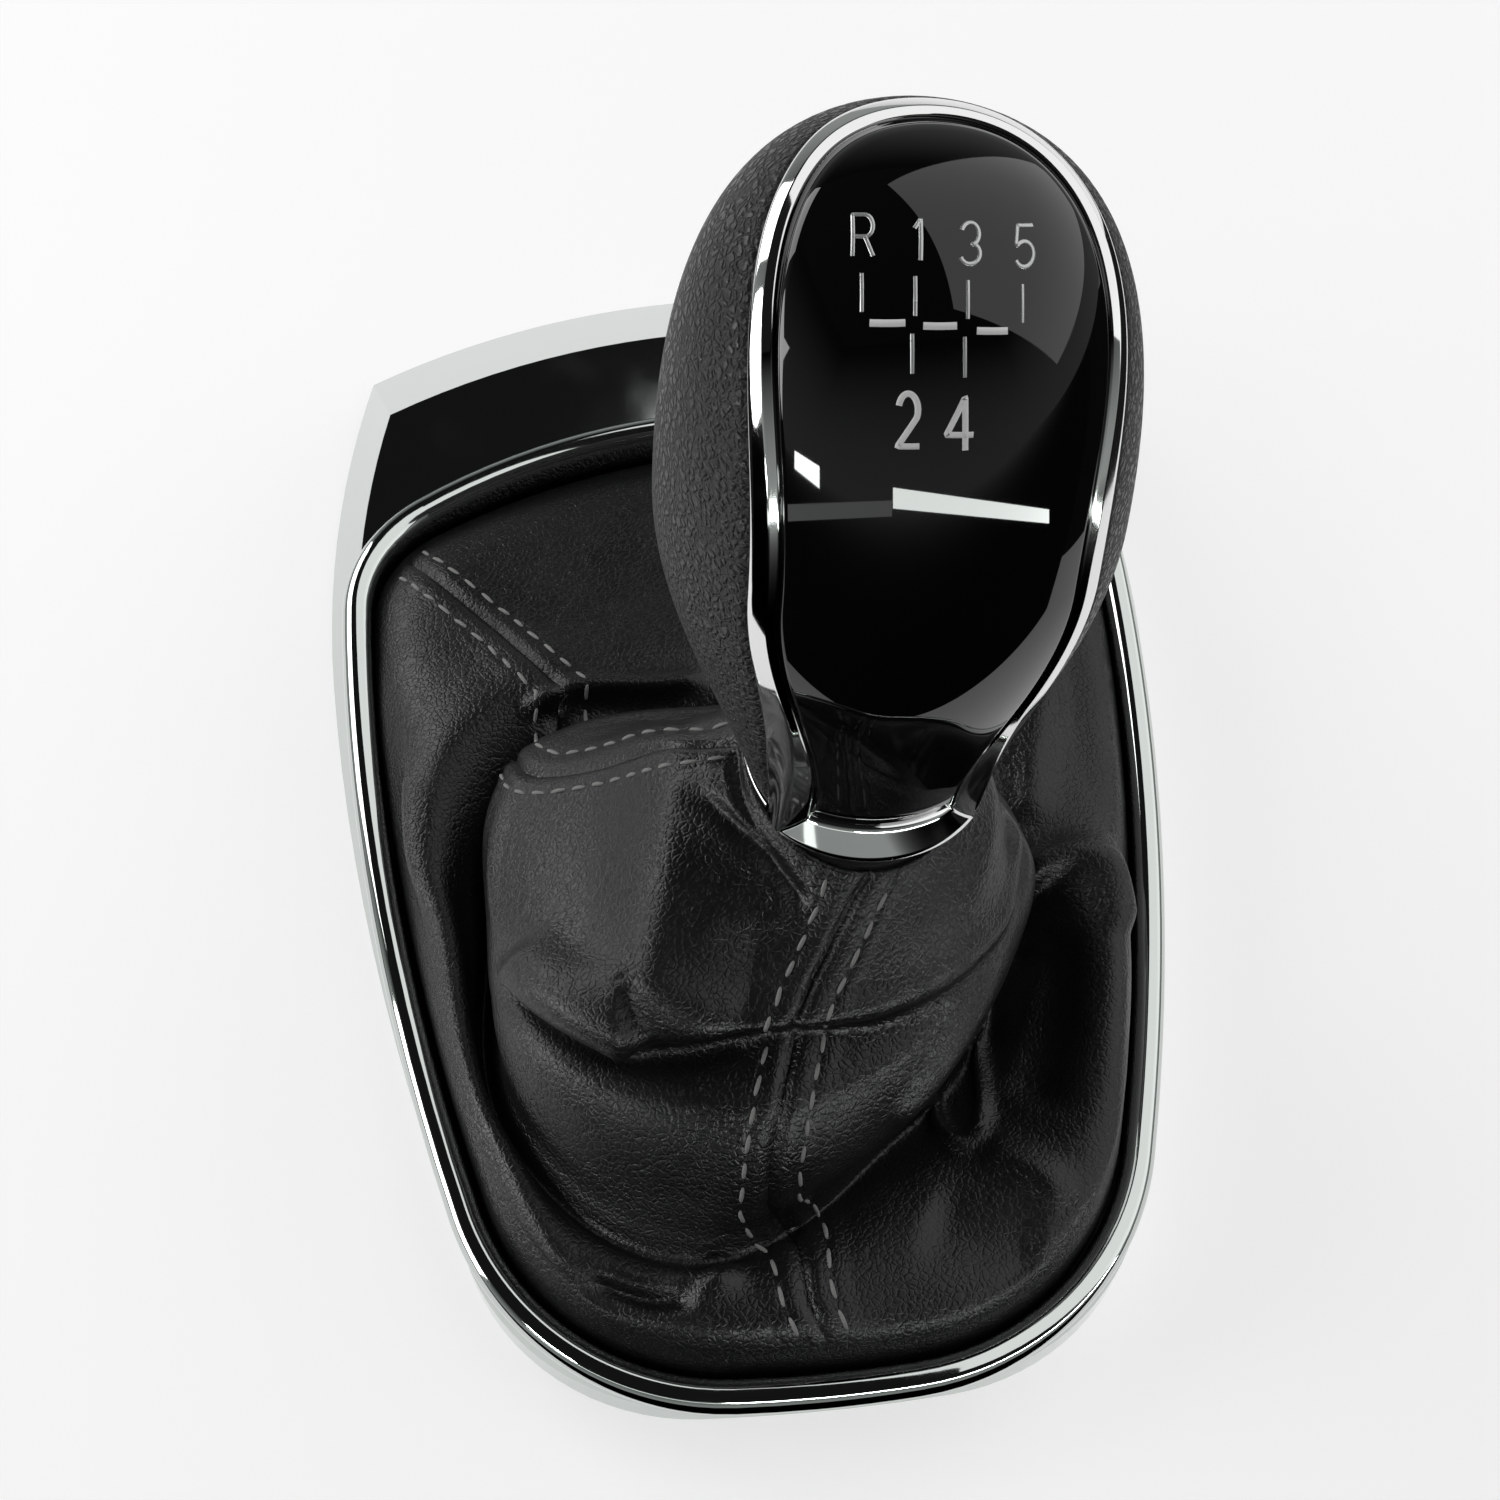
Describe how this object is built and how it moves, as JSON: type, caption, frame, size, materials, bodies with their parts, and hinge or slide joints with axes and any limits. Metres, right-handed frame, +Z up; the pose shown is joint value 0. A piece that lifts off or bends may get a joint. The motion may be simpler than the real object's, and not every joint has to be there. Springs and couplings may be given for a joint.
{
  "type": "gear shift knob with boot and bezel",
  "caption": "Egg-shaped gear shift knob with a gloss face and chrome band on a folded leather boot, held in a sloped chrome console bezel.",
  "frame": {"origin": "on the console face, under the middle of the bezel", "axes": "+Z up from the console, +Y towards the dashboard along the bezel, +X to the right"},
  "size_m": [0.1324, 0.2035, 0.1413],
  "materials": {
    "bezel_chrome": "bright chrome plating on moulded plastic",
    "knob_chrome": "bright chrome plating on moulded plastic",
    "gloss_face": "piano black gloss",
    "grip_cover": "black soft cover with a wrinkled grain",
    "boot_leather": "black grained leather, sewn with grey thread",
    "core_plastic": "moulded black",
    "sleeve_plastic": "natural grey moulding",
    "frame_plastic": "moulded black",
    "steel": "zinc plated"
  },
  "bodies": {
    "bezel": {"bezel_surround": "bezel_chrome", "boot_frame": "frame_plastic", "frame_screws": "steel", "console_clips": "steel"},
    "boot": {"left_boot_panel": "boot_leather", "right_boot_panel": "boot_leather", "rear_boot_panel": "boot_leather"},
    "knob": {"knob_core": "core_plastic", "knob_grip": "grip_cover", "knob_surround": "knob_chrome", "face_panel": "gloss_face", "base_ring": "knob_chrome", "lever_sleeve": "sleeve_plastic", "lever_clip": "steel", "boot_collar": "frame_plastic"}
  },
  "joints": [
    {"name": "gate_select", "type": "hinge", "parent": "bezel", "child": "boot", "pos_m": [0.00058, -0.07021, -0.08], "axis": [0, 1, 0], "range_deg": [-8, 4], "deforming": ["left_boot_panel", "right_boot_panel", "rear_boot_panel"]},
    {"name": "gear_shift", "type": "hinge", "parent": "boot", "child": "knob", "pos_m": [0.00058, -0.07021, -0.08], "axis": [1, 0, 0], "range_deg": [-9, 9], "deforming": ["left_boot_panel", "right_boot_panel", "rear_boot_panel"]}
  ]
}
